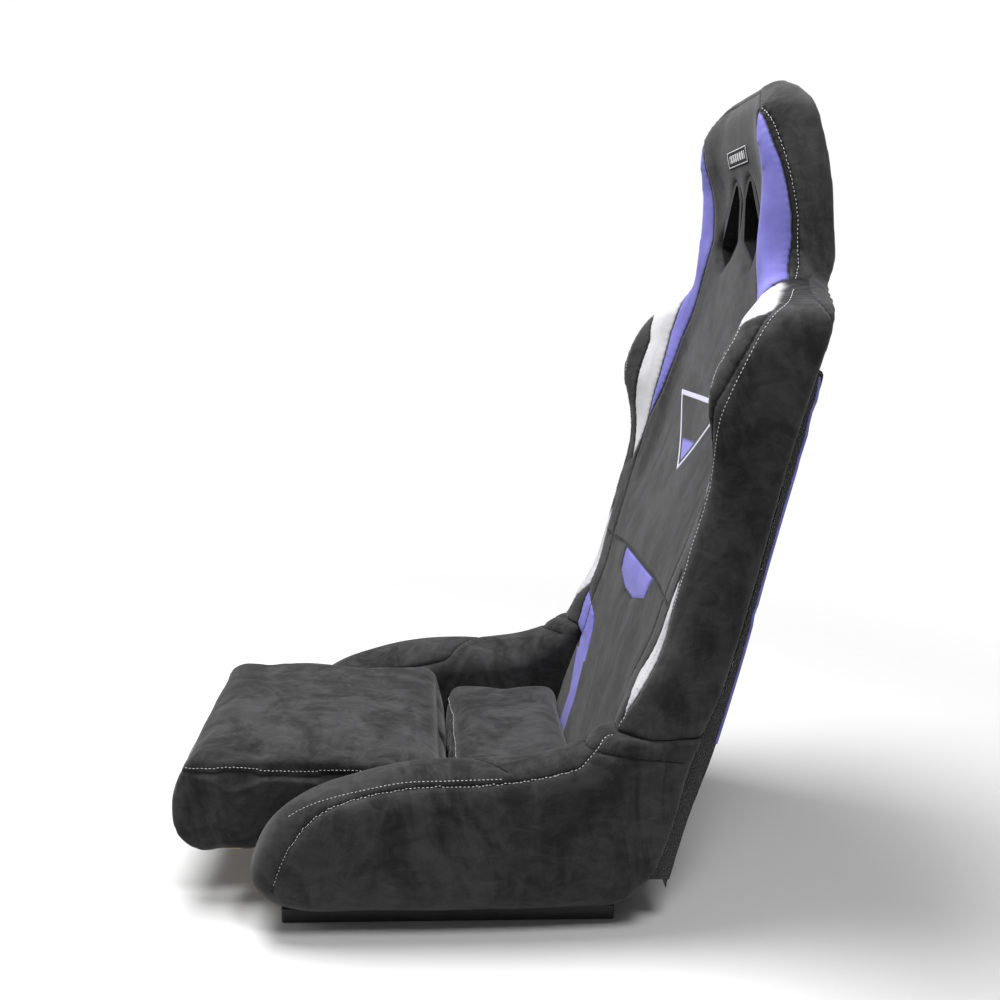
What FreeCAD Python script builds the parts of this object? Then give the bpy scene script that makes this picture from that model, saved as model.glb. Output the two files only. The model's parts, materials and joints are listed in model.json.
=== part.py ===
import FreeCAD, Part
import math
import os

# Fixed-back racing seat: foam and cover pads on a welded tube frame, two base rails,
# two lift-out seat cushions and a rear cover flap that hinges on its top seam.
# Millimetres. +Z is up and the seat faces -Y, so +X is the sitter's left side.
# Origin: centre of the four base bolt holes, on the underside of the rails.

Vector = FreeCAD.Vector
UP = Vector(0, 0, 1)
ACROSS = Vector(1, 0, 0)
SIDES = (("left", 1), ("right", -1))

# ---- driving dimensions ------------------------------------------------------

BUCKET_HALF = 175.0          # inner wall of the leg bolsters, from the centre
CUSHION_SIDE_GAP = 1.0       # cushion to bolster
PIECE_GAP = 0.3              # between pieces of different bodies that rest together

FRAME_OUTSET = 25.0          # side tube centre, outboard of the bucket wall
SIDE_TUBE_R = 12.5
CROSS_TUBE_R = 11.0
HOOP_TUBE_R = 10.0
HARNESS_BAR_R = 9.0
TUBE_WALL = 2.0
FOAM_TUBE_CLEARANCE = 0.5
TUBE_BEND_R = 60.0
TUBE_INSET = 25.0            # upright centre, in front of the rear face

RAIL_LENGTH = 375.0
RAIL_WIDTH = 30.0
RAIL_HEIGHT = 16.0
BOLT_SPACING_Y = 290.0
BOLT_HOLE_R = 3.4            # tapped M8
SADDLE_WIDTH = 22.0
SADDLE_LENGTH = 34.0
SADDLE_RISE = 3.0            # least thickness under the side tube
SADDLE_RELIEF_R = 5.0

PAN_TOP_Z = 56.7
PAN_THICKNESS = 2.0
PAN_FRONT_Y = -170.0
PAN_REAR_Y = 190.0
PAN_EDGE_GAP = 1.5
BEARER_THICKNESS = 6.0
BEARER_X = 90.0
BEARER_Y = (-155.0, 140.0)
FRONT_CROSS_Y = -120.0
REAR_CROSS_Y = 110.0
LUMBAR_BAR_Z = 300.0
HARNESS_BAR_Z = 702.0
STRAP_SLOT_LENGTH = 90.0
STRAP_SLOT_WIDTH = 16.0

FRONT_CUSHION_TOP_Z = 180.0
FRONT_CUSHION_REAR_Z = 166.0
REAR_CUSHION_TOP_Z = 139.0
CUSHION_FRONT_Y = -324.0
CUSHION_NOSE_Z = 116.0       # height of the foremost line
CUSHION_SPLIT_Y = 1.0        # middle of the gap between the cushions
CUSHION_SPLIT_GAP = 6.0
CUSHION_BACK_GAP = 1.5
CUSHION_NOSE_R = 46.0
CUSHION_CREST_Y = -190.0     # highest place of the front cushion
CUSHION_EDGE_R = 17.0
CUSHION_CORNER_R = 20.0
BOARD_THICKNESS = 8.0
BOARD_INSET = 22.0

BOLSTER_BASE_Z = 16.5
BOLSTER_FRONT_Y = -217.0

PLEAT_Z = 226.0              # top of the leg bolsters and foot of the back bolsters
BACK_RISE = 706.0            # from the pleats to the crown
PAD_HALF = 150.0             # split between the centre pads and the back bolsters
LUMBAR_SEAM = 0.206          # heights above the pleats as shares of the back's rise
NECK_SEAM = 0.680
FLAP_TOP = 0.551
RECESS_DEPTH = 12.0          # hollow behind the centre pads
TRIM_ALLOWANCE = 4.0         # lofts run past the rear face and are trimmed back to it

HOOP_HALF = 105.0
HOOP_TOP_DROP = 50.0
NECK_BEND_Z = 690.0
HOOP_WELD_Z = 740.0
HEAD_BLOCK_X = 40.0          # joints between the middle and side blocks of the head foam

STRAP_WIDTH = 45.0
STRAP_THICKNESS = 2.0
STRAP_CLEARANCE = 0.5
STRAP_ZS = (370.0, 450.0, 530.0)

SLOT_WALL = 3.0
SLOT_FLANGE = 5.0
FLANGE_THICKNESS = 3.0
FLANGE_PROUD = 1.0           # past the pad where the pad is deepest
SCREW_HEAD_R = 2.1
SCREW_HEAD_HEIGHT = 1.4

LABEL_SIZE = (80.0, 20.0)
EMBLEM_SIZE = (84.0, 110.0)
TRIM_THICKNESS = 1.2

FLAP_HALF = 228.0
FLAP_SKIN = 2.5
FLAP_FOOT_Z = 41.0
TAPE_THICKNESS = 1.5
TAPE_WIDTH = 26.0
TAPE_INNER_X = 198.0
TAPE_Z = (105.0, 560.0)
HINGE_STRIP_HEIGHT = 16.0
FLAP_FOOT_STEP = 14.0        # skin below the padding


def back_height(share):
    """Height of a level given as a share of the back's rise above the pleats."""
    return PLEAT_Z + share * BACK_RISE


LUMBAR_Z = back_height(LUMBAR_SEAM)
NECK_Z = back_height(NECK_SEAM)
FLAP_TOP_Z = back_height(FLAP_TOP)
CROWN_Z = back_height(1.0)
FRAME_HALF = BUCKET_HALF + FRAME_OUTSET
SIDE_TUBE_Z = RAIL_HEIGHT + SADDLE_RISE + SIDE_TUBE_R

# Front of the centre pads: height, Y.
PAD_FRONT = [(57, 150), (146, 175), (PLEAT_Z, 203), (back_height(0.070), 218),
             (back_height(0.148), 236), (LUMBAR_Z, 247), (back_height(0.304), 274),
             (back_height(0.395), 300), (back_height(0.461), 313),
             (back_height(0.568), 332), (NECK_Z, 346), (back_height(0.808), 358),
             (back_height(0.865), 354), (back_height(0.891), 348), (back_height(0.940), 346),
             (back_height(0.966), 350), (back_height(0.988), 360), (CROWN_Z, 371)]

# Rear face of the whole seat: height, Y.
REAR_FACE = [(BOLSTER_BASE_Z, 180), (30, 189), (50, 205), (81, 226), (203, 262), (284, 296),
             (413, 328), (605, 367), (back_height(0.610), 381), (back_height(0.640), 389),
             (back_height(0.675), 408), (back_height(0.720), 421), (back_height(0.802), 418),
             (back_height(0.888), 409), (back_height(0.937), 400), (back_height(0.972), 393),
             (CROWN_Z, 386)]

# Bolsters, up the back: share of the rise, nose Y behind or before the pad front,
# nose X and outer X from the bucket wall.
BACK_BOLSTER = [(0.000, -24, 38, 76), (0.040, -19, 38, 73), (0.090, -10, 38, 70),
                (0.148, -6, 38, 68), (0.220, -8, 39, 67), (0.304, -15, 43, 68),
                (0.395, -27, 51, 73), (0.461, -45, 60, 81), (0.520, -60, 64, 86),
                (0.568, -59, 62, 89), (0.610, -46, 52, 90), (0.630, -38, 43, 88),
                (0.654, -22, 22, 60), (NECK_SEAM, -10, -24, -2), (0.727, -14, -42, -25),
                (0.800, -17, -45, -29), (0.840, -16, -45, -30), (0.888, -14, -50, -36),
                (0.948, -11, -63, -44), (0.966, -8, -80, -59), (0.983, -5, -105, -84),
                (1.000, 0, -140, -118)]

# Leg bolsters, front to rear: Y, underside, ridge height, ridge X and outer X from the bucket wall.
LEG_BOLSTER = [(BOLSTER_FRONT_Y, 62, 82, 46, 60), (-208, 44, 104, 47, 74), (-194, 30, 126, 48, 81),
               (-172, 21, 146, 49, 85), (-142, BOLSTER_BASE_Z, 163, 50, 87),
               (-100, BOLSTER_BASE_Z, 177, 50, 87), (-55, BOLSTER_BASE_Z, 188, 50, 87),
               (0, BOLSTER_BASE_Z, 193, 50, 87), (60, BOLSTER_BASE_Z, 194, 49, 86),
               (110, BOLSTER_BASE_Z, 200, 46, 84), (150, BOLSTER_BASE_Z, 214, 42, 82),
               (180, BOLSTER_BASE_Z, 240, 39, 80), (215, BOLSTER_BASE_Z, 280, 38, 77),
               (290, BOLSTER_BASE_Z, 356, 38, 72)]

# Rear flap, outer face: height, Y.
FLAP_FACE = [(FLAP_FOOT_Z, 243), (125, 264), (200, 288), (264, 305), (331, 321), (397, 335),
             (462, 350), (525, 365), (FLAP_TOP_Z, 384)]

# Harness slot in the head pad, sitter's left: X, Z from the slot's datum height.
SLOT_DATUM_Z = back_height(0.755)
SLOT_CORNERS = [(27, 72), (12, 46), (13, -2), (62, -33), (86, -4)]
SLOT_CORNER_R = 7.0


# ---- curves and simple shapes ------------------------------------------------

class Profile:
    """Smooth monotone curve through (position, value) stations."""

    def __init__(self, stations, shift=0.0):
        self.stations = stations
        self.shift = shift
        self.xs = [s[0] for s in stations]
        self.ys = [s[1] for s in stations]
        steps = [(b[1] - a[1]) / (b[0] - a[0]) for a, b in zip(stations, stations[1:])]
        self.slopes = [steps[0]]
        for a, b in zip(steps, steps[1:]):
            self.slopes.append(0.0 if a * b <= 0 else 2 * a * b / (a + b))
        self.slopes.append(steps[-1])

    def moved(self, distance):
        return Profile(self.stations, self.shift + distance)

    def span(self, x):
        """Span that holds x, its length and the fraction of it at x."""
        i = max([0] + [k for k in range(len(self.xs) - 1) if self.xs[k] <= x])
        length = self.xs[i + 1] - self.xs[i]
        return i, length, (x - self.xs[i]) / length

    def __call__(self, x):
        x = min(max(x, self.xs[0]), self.xs[-1])
        i, h, t = self.span(x)
        return (self.shift + (2 * t ** 3 - 3 * t ** 2 + 1) * self.ys[i]
                + (t ** 3 - 2 * t ** 2 + t) * h * self.slopes[i]
                + (3 * t ** 2 - 2 * t ** 3) * self.ys[i + 1]
                + (t ** 3 - t ** 2) * h * self.slopes[i + 1])

    def slope(self, x, i):
        """Slope at x, on the curve of span i."""
        h = self.xs[i + 1] - self.xs[i]
        t = (x - self.xs[i]) / h
        rise = self.ys[i + 1] - self.ys[i]
        return ((6 * t - 6 * t ** 2) * rise / h + (3 * t ** 2 - 4 * t + 1) * self.slopes[i]
                + (3 * t ** 2 - 2 * t) * self.slopes[i + 1])

    def edges(self, x, low_z, high_z):
        """The curve as Y over height in the plane at x, one edge to each span."""
        stops = [low_z] + [z for z in self.xs[1:-1] if low_z < z < high_z] + [high_z]
        edges = []
        for a, b in zip(stops, stops[1:]):
            i = self.span((a + b) / 2)[0]
            third = (b - a) / 3
            curve = Part.BezierCurve()
            curve.setPoles([Vector(x, self(a), a), Vector(x, self(a) + third * self.slope(a, i),
                                                          a + third),
                            Vector(x, self(b) - third * self.slope(b, i), b - third),
                            Vector(x, self(b), b)])
            edges.append(curve.toShape())
        return edges


def spaced(low, high, step):
    count = max(2, int(math.ceil((high - low) / step)) + 1)
    return [low + (high - low) * i / (count - 1) for i in range(count)]


pad_front = Profile(PAD_FRONT)
rear_face = Profile(REAR_FACE)
flap_face = Profile(FLAP_FACE)
nose_setback = Profile([(back_height(s[0]), s[1]) for s in BACK_BOLSTER])
nose_out = Profile([(back_height(s[0]), s[2]) for s in BACK_BOLSTER])
outer_out = Profile([(back_height(s[0]), s[3]) for s in BACK_BOLSTER])


def box(x, y, z):
    """Box from three (low, high) pairs."""
    return Part.makeBox(x[1] - x[0], y[1] - y[0], z[1] - z[0], Vector(x[0], y[0], z[0]))


def mirrored(shape):
    return shape.mirror(Vector(0, 0, 0), ACROSS)


def rod(start, end, radius):
    return Part.makeCylinder(radius, (end - start).Length, start, end - start)


def rounded_outline(corners, radii):
    """Closed wire through the corners, each rounded by a tangent arc."""
    edges = []
    arcs = []
    count = len(corners)
    for i in range(count):
        before, here, after = corners[i - 1], corners[i], corners[(i + 1) % count]
        arcs.append(corner_arc(before, here, after, radii[i]))
    for i in range(count):
        edges.append(Part.makeLine(arcs[i - 1][2], arcs[i][0]))
        edges.append(Part.Arc(*arcs[i]).toShape())
    return Part.Wire(edges)


def corner_arc(before, here, after, radius):
    """Start, middle and end of the tangent arc that rounds the corner."""
    to_start = (before - here).normalize()
    to_end = (after - here).normalize()
    half = to_start.getAngle(to_end) / 2
    setback = radius / math.tan(half)
    bisector = (to_start + to_end).normalize()
    middle = here + bisector * (radius / math.sin(half) - radius)
    return here + to_start * setback, middle, here + to_end * setback


def bent_path(points, bend_radius):
    """Open wire of straight runs joined by tangent arcs."""
    edges = []
    last = points[0]
    for before, here, after in zip(points, points[1:], points[2:]):
        start, middle, end = corner_arc(before, here, after, bend_radius)
        edges.append(Part.makeLine(last, start))
        edges.append(Part.Arc(start, middle, end).toShape())
        last = end
    edges.append(Part.makeLine(last, points[-1]))
    return Part.Wire(edges)


def bar_on(points, bend_radius, radius):
    """Round bar swept along the bent path."""
    path = bent_path(points, bend_radius)
    ring = Part.Wire([Part.makeCircle(radius, points[0], points[1] - points[0])])
    return path.makePipeShell([ring], True, False)


def band(front, back, low_z, high_z, x):
    """Slab across X whose front and rear faces follow two height profiles."""
    foot = Part.makeLine(Vector(x[0], back(low_z), low_z), Vector(x[0], front(low_z), low_z))
    head = Part.makeLine(Vector(x[0], front(high_z), high_z), Vector(x[0], back(high_z), high_z))
    edges = front.edges(x[0], low_z, high_z) + back.edges(x[0], low_z, high_z) + [foot, head]
    face = Part.Face(Part.Wire(Part.__sortEdges__(edges)))
    return face.extrude(Vector(x[1] - x[0], 0, 0))


def closed_loft(sections):
    """Solid through closed point rings, all splined over the spacing of the tight last ones."""
    tight = sections[-12:]
    chords = [[(b - a).Length for a, b in zip(ring, ring[1:] + ring[:1])] for ring in tight]
    shares = [sum(c[k] / sum(c) for c in chords) for k in range(len(tight[0]))]
    knots = [sum(shares[:k]) / sum(shares) for k in range(len(shares) + 1)]
    wires = []
    for ring in sections:
        curve = Part.BSplineCurve()
        curve.interpolate(Points=ring, PeriodicFlag=True, Parameters=knots)
        wires.append(Part.Wire([curve.toShape()]))
    return Part.makeLoft(wires, True, False)


# ---- tube frame --------------------------------------------------------------

def spine_points():
    """One side's base, up the back, over the neck and across to the other side."""
    heights = (SIDE_TUBE_Z, PLEAT_Z, back_height(0.304), back_height(0.525))
    left = [Vector(FRAME_HALF, rear_face(z) - TUBE_INSET, z) for z in heights]
    left += [neck_point(z) for z in (NECK_BEND_Z, SLOT_DATUM_Z + 30, CROWN_Z - HOOP_TOP_DROP)]
    return left + [Vector(-p.x, p.y, p.z) for p in reversed(left)]


def neck_point(z):
    """Point on the hoop's leg, midway through the thickness of the head pad."""
    return Vector(HOOP_HALF, (pad_front(z) + rear_face(z)) / 2, z)


def leg_loop_points():
    foot_y = -150.0
    shoulder_y = -70.0
    top_z = 140.0
    end_y = rear_face(top_z + 10) - TUBE_INSET
    return [Vector(FRAME_HALF, foot_y, SIDE_TUBE_Z), Vector(FRAME_HALF, foot_y, top_z - 42),
            Vector(FRAME_HALF, shoulder_y, top_z), Vector(FRAME_HALF, end_y, top_z + 10)]


def frame_bars(grow):
    """Solid bars of every tube's outside, each enlarged by the same amount."""
    side_front = Vector(FRAME_HALF, -RAIL_LENGTH / 2 + 15, SIDE_TUBE_Z)
    spine = spine_points()
    lumbar_y = rear_face(LUMBAR_BAR_Z) - TUBE_INSET
    harness_y = neck_point(HARNESS_BAR_Z).y
    end = FRAME_HALF
    return {
        "spine": bar_on(spine, TUBE_BEND_R, SIDE_TUBE_R + grow),
        "side_tube": rod(side_front, spine[0], SIDE_TUBE_R + grow),
        "leg_loop": bar_on(leg_loop_points(), 34.0, HOOP_TUBE_R + grow),
        "front_cross": rod(Vector(-end, FRONT_CROSS_Y, SIDE_TUBE_Z),
                           Vector(end, FRONT_CROSS_Y, SIDE_TUBE_Z), CROSS_TUBE_R + grow),
        "rear_cross": rod(Vector(-end, REAR_CROSS_Y, SIDE_TUBE_Z),
                          Vector(end, REAR_CROSS_Y, SIDE_TUBE_Z), CROSS_TUBE_R + grow),
        "lumbar": rod(Vector(-end, lumbar_y, LUMBAR_BAR_Z),
                      Vector(end, lumbar_y, LUMBAR_BAR_Z), CROSS_TUBE_R + grow),
        "harness": rod(Vector(-HOOP_HALF, harness_y, HARNESS_BAR_Z),
                       Vector(HOOP_HALF, harness_y, HARNESS_BAR_Z), HARNESS_BAR_R + grow),
    }


def frame_tubes(outside):
    """Hollow tubes, each coped round the one that it is welded to."""
    bore = frame_bars(-TUBE_WALL)
    tube = {name: outside[name].cut(bore[name]) for name in outside}
    spine = outside["spine"]
    side_tubes = outside["side_tube"].fuse(mirrored(outside["side_tube"]))
    reach = 2 * FRAME_HALF
    upright = tube["spine"].common(box((0, reach), (-500, 900), (0, HOOP_WELD_Z)))
    hoop = tube["spine"].common(box((-reach, reach), (-500, 900), (HOOP_WELD_Z, CROWN_Z)))
    side = tube["side_tube"].cut(spine)
    loop = tube["leg_loop"].cut([outside["side_tube"], spine])
    parts = {
        "upright_tube_left": upright,
        "upright_tube_right": mirrored(upright),
        "side_tube_left": side,
        "side_tube_right": mirrored(side),
        "leg_loop_tube_left": loop,
        "leg_loop_tube_right": mirrored(loop),
        "head_hoop_tube": hoop,
        "front_cross_tube": tube["front_cross"].cut(side_tubes),
        "rear_cross_tube": tube["rear_cross"].cut(side_tubes),
        "lumbar_cross_tube": tube["lumbar"].cut(spine),
        "harness_bar_tube": tube["harness"].cut(spine),
    }
    return {name: largest(shape) for name, shape in parts.items()}


def largest(shape):
    """The main solid of a cut, without chips left inside a coped end."""
    return max(shape.Solids, key=lambda s: s.Volume)


# ---- base --------------------------------------------------------------------

def bolt_ys():
    return (-BOLT_SPACING_Y / 2, BOLT_SPACING_Y / 2)


def base_rail():
    half = RAIL_LENGTH / 2
    rail = box((FRAME_HALF - RAIL_WIDTH / 2, FRAME_HALF + RAIL_WIDTH / 2), (-half, half),
               (0, RAIL_HEIGHT))
    vertical = [e for e in rail.Edges if abs(e.tangentAt(e.FirstParameter).z) > 0.9]
    rail = rail.makeFillet(3.0, vertical)
    holes = [rod(Vector(FRAME_HALF, y, 0), Vector(FRAME_HALF, y, RAIL_HEIGHT), BOLT_HOLE_R)
             for y in bolt_ys()]
    return rail.cut(holes)


def saddle_block(y, rear_end, clearance):
    """Weld block between rail and side tube."""
    half = SADDLE_WIDTH / 2 + clearance
    return box((FRAME_HALF - half, FRAME_HALF + half),
               (y - SADDLE_LENGTH / 2 - clearance, rear_end + clearance),
               (RAIL_HEIGHT, SIDE_TUBE_Z + clearance))


def saddle_blocks(clearance):
    front_y, rear_y = bolt_ys()
    return [saddle_block(front_y, front_y + SADDLE_LENGTH / 2, clearance),
            saddle_block(rear_y, RAIL_LENGTH / 2 - 2.0, clearance)]


def rail_saddles(bars):
    front, rear = saddle_blocks(0.0)
    relief = [rod(Vector(FRAME_HALF, y, RAIL_HEIGHT), Vector(FRAME_HALF, y, RAIL_HEIGHT + 8),
                  SADDLE_RELIEF_R) for y in bolt_ys()]
    cutters = [bars["side_tube"], bars["spine"]] + relief
    return Part.makeCompound([largest(front.cut(cutters)), largest(rear.cut(cutters))])


def pan_bearers(bars):
    top = PAN_TOP_Z - PAN_THICKNESS
    strips = []
    for _, side in SIDES:
        x = side * BEARER_X
        strip = box((x - BEARER_THICKNESS / 2, x + BEARER_THICKNESS / 2), BEARER_Y,
                    (SIDE_TUBE_Z + 4, top))
        strips.append(largest(strip.cut([bars["front_cross"], bars["rear_cross"]])))
    return Part.makeCompound(strips)


def seat_pan():
    half = BUCKET_HALF - PAN_EDGE_GAP
    pan = box((-half, half), (PAN_FRONT_Y, PAN_REAR_Y), (PAN_TOP_Z - PAN_THICKNESS, PAN_TOP_Z))
    corners = [e for e in pan.Edges if abs(e.tangentAt(e.FirstParameter).z) > 0.9]
    pan = pan.makeFillet(14.0, corners)
    return pan.cut(strap_slot(0.0))


def strap_slot(grow):
    """Round-ended slot for the harness strap that passes between the cushions."""
    radius = STRAP_SLOT_WIDTH / 2 + grow
    reach = STRAP_SLOT_LENGTH / 2 - STRAP_SLOT_WIDTH / 2
    low, high = PAN_TOP_Z - PAN_THICKNESS - 1, PAN_TOP_Z + 1
    ends = [rod(Vector(s * reach, CUSHION_SPLIT_Y, low), Vector(s * reach, CUSHION_SPLIT_Y, high),
                radius) for s in (-1, 1)]
    middle = box((-reach, reach), (CUSHION_SPLIT_Y - radius, CUSHION_SPLIT_Y + radius), (low, high))
    return middle.fuse(ends)


# ---- soft parts --------------------------------------------------------------

def back_section(z):
    """Closed outline of the back at one height, pad front, bolsters and rear face."""
    front = pad_front(z)
    rear = rear_face(z) + TRIM_ALLOWANCE
    nose_y = front + nose_setback(z)
    nose_x = BUCKET_HALF + nose_out(z)
    outer = BUCKET_HALF + outer_out(z)
    toe = 0.62 * nose_x
    rise = front - nose_y
    depth = rear - nose_y
    corner = min(22.0, 0.4 * depth, 0.3 * outer)
    half = [(0.30 * toe, front), (0.66 * toe, front), (toe, front - 0.06 * rise),
            (0.5 * (toe + nose_x), front - 0.52 * rise),
            (nose_x - 0.28 * (outer - nose_x), front - 0.93 * rise),
            (nose_x, nose_y), (0.5 * (nose_x + outer), nose_y + 0.07 * depth),
            (outer - 0.08 * (outer - nose_x), nose_y + 0.26 * depth),
            (outer, nose_y + 0.52 * depth), (outer - 1.5, rear - corner),
            (outer - 0.32 * corner, rear - 0.30 * corner), (outer - corner, rear),
            (0.62 * (outer - corner), rear), (0.28 * (outer - corner), rear)]
    right = [Vector(x, y, z) for x, y in half]
    left = [Vector(-p.x, p.y, z) for p in reversed(right)]
    return [Vector(0, front, z)] + right + [Vector(0, rear, z)] + left


def back_body():
    """The back from the pleats to the crown, before it is split into pads."""
    heights = spaced(PLEAT_Z, back_height(0.60), 33)
    heights += spaced(back_height(0.615), back_height(0.70), 12)
    heights += spaced(back_height(0.735), back_height(0.90), 30)
    heights += [back_height(s) for s in (0.925, 0.945, 0.963, 0.978, 0.990, 1.0)]
    body = closed_loft([back_section(z) for z in heights])
    reach = 2 * BUCKET_HALF
    return body.common(band(rear_face.moved(-300), rear_face, PLEAT_Z, CROWN_Z, (-reach, reach)))


def leg_section(y, base, ridge, ridge_out, outer_out_here):
    """Upright outline of the leg bolster: flat inner wall, ridge, outer face and base."""
    inner = BUCKET_HALF
    ridge_x = BUCKET_HALF + ridge_out
    outer = BUCKET_HALF + outer_out_here
    height = ridge - base
    wide = outer - inner
    drop = min(34.0, 0.3 * height)
    foot = min(46.0, 0.3 * height)
    points = [(inner, ridge - drop), (inner + 0.45 * (ridge_x - inner), ridge - 0.2 * drop),
              (ridge_x, ridge), (ridge_x + 0.62 * (outer - ridge_x), ridge - 0.3 * drop),
              (outer - 2, ridge - drop), (outer, base + 0.55 * height), (outer - 2, base + foot),
              (outer - 0.12 * wide, base + 0.6 * foot), (outer - 0.30 * wide, base + 0.24 * foot),
              (outer - 0.56 * wide, base), (inner + 0.15 * wide, base),
              (inner, base + 0.2 * foot)]
    points = [Vector(x, y, z) for x, z in points]
    skin = Part.BSplineCurve()
    skin.interpolate(points)
    return Part.Wire([skin.toShape(), Part.makeLine(points[-1], points[0])])


def leg_bolster_body():
    curves = [Profile([(s[0], s[k]) for s in LEG_BOLSTER]) for k in range(1, 5)]
    ys = [s[0] for s in LEG_BOLSTER[:5]] + spaced(LEG_BOLSTER[4][0], LEG_BOLSTER[-1][0], 31)[1:]
    body = Part.makeLoft([leg_section(y, *[curve(y) for curve in curves]) for y in ys], True, False)
    reach = (BUCKET_HALF - 50, BUCKET_HALF + 150)
    return body.common(band(rear_face.moved(-600), rear_face, BOLSTER_BASE_Z, PLEAT_Z, reach))


def rear_recess(half, high_z):
    """Space behind the centre pads that the flap covers."""
    return band(rear_face.moved(-RECESS_DEPTH), rear_face.moved(60),
                BOLSTER_BASE_Z + 20, high_z, (-half, half))


def pad_block(low_z, high_z, half):
    return box((-half, half), (-50, 600), (low_z, high_z))


def centre_pads(body):
    """Foot pad, lower and upper back pads between the bolsters, and the head pad."""
    recess = rear_recess(PAD_HALF, FLAP_TOP_Z - HINGE_STRIP_HEIGHT)
    back = rear_face.moved(-RECESS_DEPTH)
    return {
        "foot_pad": band(pad_front, back, PAN_TOP_Z + PIECE_GAP, PLEAT_Z,
                         (-BUCKET_HALF, BUCKET_HALF)),
        "lower_back_pad": body.common(pad_block(PLEAT_Z, LUMBAR_Z, PAD_HALF)).cut(recess),
        "upper_back_pad": body.common(pad_block(LUMBAR_Z, NECK_Z, PAD_HALF)).cut(recess),
        **head_blocks(body),
    }


def head_blocks(body):
    """Head foam: one block over the harness slots, and three that the slots part."""
    split_z = SLOT_DATUM_Z + max(z for _, z in SLOT_CORNERS) + SLOT_WALL + SLOT_FLANGE + 2
    wide = 2 * BUCKET_HALF
    low = (NECK_Z, split_z)
    side = body.common(box((HEAD_BLOCK_X, wide), (-50, 600), low))
    return {
        "head_pad_upper": body.common(pad_block(split_z, CROWN_Z + 10, wide)),
        "head_pad_middle": body.common(pad_block(*low, HEAD_BLOCK_X)),
        "head_pad_left": side,
        "head_pad_right": mirrored(side),
    }


def back_bolster(body):
    block = box((PAD_HALF, 2 * BUCKET_HALF), (-50, 600), (PLEAT_Z, NECK_Z))
    return body.common(block)


def cushion(corners, radii):
    """Seat cushion: side outline extruded across the bucket, with rounded top side edges."""
    half = BUCKET_HALF - CUSHION_SIDE_GAP
    outline = rounded_outline([Vector(-half, y, z) for y, z in corners], radii)
    block = Part.Face(outline).extrude(Vector(2 * half, 0, 0))
    low_y = min(y for y, _ in corners)
    high_y = max(y for y, _ in corners)
    sides = [Vector(s * half, y, 0) for s, y in ((-1, low_y), (1, low_y), (1, high_y),
                                                 (-1, high_y))]
    plan = Part.Face(rounded_outline(sides, [CUSHION_CORNER_R] * 4))
    return block.common(plan.extrude(UP * 400))


def cushion_board(front_y, rear_y):
    half = BUCKET_HALF - CUSHION_SIDE_GAP - BOARD_INSET
    floor_z = PAN_TOP_Z + PIECE_GAP
    board = box((-half, half), (front_y, rear_y), (floor_z, floor_z + BOARD_THICKNESS))
    corners = [e for e in board.Edges if abs(e.tangentAt(e.FirstParameter).z) > 0.9]
    return board.makeFillet(16.0, corners)


def seat_cushions():
    floor_z = PAN_TOP_Z + PIECE_GAP
    front_end = CUSHION_SPLIT_Y - CUSHION_SPLIT_GAP / 2
    rear_start = CUSHION_SPLIT_Y + CUSHION_SPLIT_GAP / 2
    rear_top = pad_front(REAR_CUSHION_TOP_Z) - CUSHION_BACK_GAP
    rear_foot = pad_front(floor_z) - CUSHION_BACK_GAP
    front_board = cushion_board(CUSHION_FRONT_Y + CUSHION_NOSE_R + 12, front_end - BOARD_INSET)
    rear_board = cushion_board(rear_start + BOARD_INSET, rear_foot - BOARD_INSET)
    edge = CUSHION_EDGE_R
    front = cushion([(CUSHION_FRONT_Y + 4, floor_z), (CUSHION_FRONT_Y, CUSHION_NOSE_Z),
                     (CUSHION_FRONT_Y + 16, FRONT_CUSHION_TOP_Z - 5),
                     (CUSHION_CREST_Y, FRONT_CUSHION_TOP_Z), (front_end, FRONT_CUSHION_REAR_Z),
                     (front_end, floor_z)],
                    [CUSHION_NOSE_R, 1.5 * CUSHION_NOSE_R, 1.3 * edge, 200.0, edge, 4.0])
    rear = cushion([(rear_start, floor_z), (rear_start, REAR_CUSHION_TOP_Z),
                    (rear_top, REAR_CUSHION_TOP_Z), (rear_foot, floor_z)],
                   [4.0, edge, edge, 4.0])
    return {
        "front_cushion": front.cut(front_board),
        "front_cushion_board": front_board,
        "rear_cushion": rear.cut(rear_board),
        "rear_cushion_board": rear_board,
    }


# ---- harness slots in the head pad -------------------------------------------

def slot_prism(grow, low_y, high_y):
    """Five-cornered slot outline, offset outwards, extruded along Y."""
    corners = [Vector(x, low_y, SLOT_DATUM_Z + z) for x, z in SLOT_CORNERS]
    outline = rounded_outline(corners, [SLOT_CORNER_R] * len(corners))
    face = Part.Face(outline)
    if grow:
        face = Part.Face(face.makeOffset2D(grow).Wires[0])
    return face.extrude(Vector(0, high_y - low_y, 0))


def slot_faces():
    """Y of the slot's front flange, middle joint and rear flange."""
    front = max(pad_front(SLOT_DATUM_Z + z) for _, z in SLOT_CORNERS) - FLANGE_PROUD
    rear = min(rear_face(SLOT_DATUM_Z + z) for _, z in SLOT_CORNERS) + FLANGE_PROUD
    return front, (front + rear) / 2, rear


def slot_bezels():
    """Flanged liners that meet in the middle of the head pad."""
    front, middle, rear = slot_faces()
    bore = slot_prism(0.0, front - 1, rear + 1)
    liner_front = slot_prism(SLOT_WALL, front, middle)
    liner_rear = slot_prism(SLOT_WALL, middle, rear)
    flange_front = slot_prism(SLOT_WALL + SLOT_FLANGE, front, front + FLANGE_THICKNESS)
    flange_rear = slot_prism(SLOT_WALL + SLOT_FLANGE, rear - FLANGE_THICKNESS, rear)
    return {
        "front": liner_front.fuse(flange_front).cut(bore).removeSplitter(),
        "rear": liner_rear.fuse(flange_rear).cut(bore).removeSplitter(),
    }


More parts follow.
